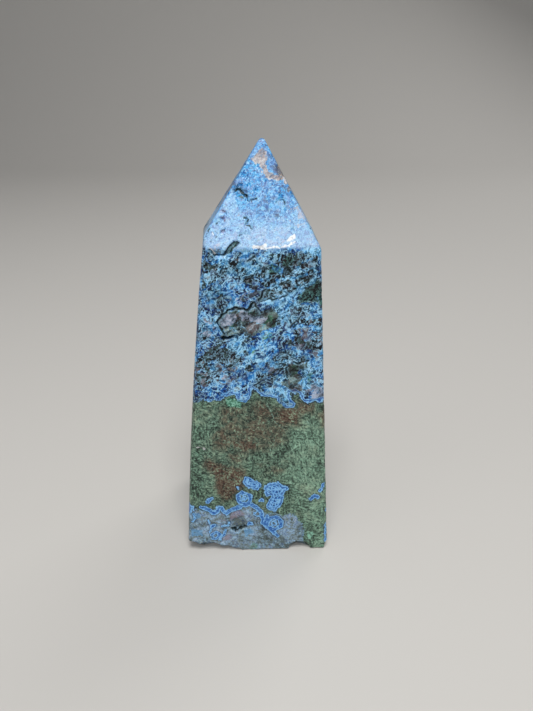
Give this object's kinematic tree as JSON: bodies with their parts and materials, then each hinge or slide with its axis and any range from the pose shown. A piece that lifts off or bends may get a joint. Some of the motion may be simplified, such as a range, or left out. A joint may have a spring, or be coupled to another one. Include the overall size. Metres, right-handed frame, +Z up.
{
  "type": "azurite malachite point",
  "caption": "Hand-cut mineral tower with a pyramid tip, blue azurite over a green malachite band, standing on a flat base as a desk or shelf ornament.",
  "frame": {"origin": "on the ground, under the middle of the stone's bounding box", "axes": "+Z up along the point, -Y out of the front face, +X to the front face's right"},
  "size_m": [0.0308, 0.0256, 0.08],
  "materials": {
    "polished_stone": "polished, with open pits"
  },
  "bodies": {
    "root": {"azurite_malachite_point": "polished_stone"}
  },
  "joints": []
}
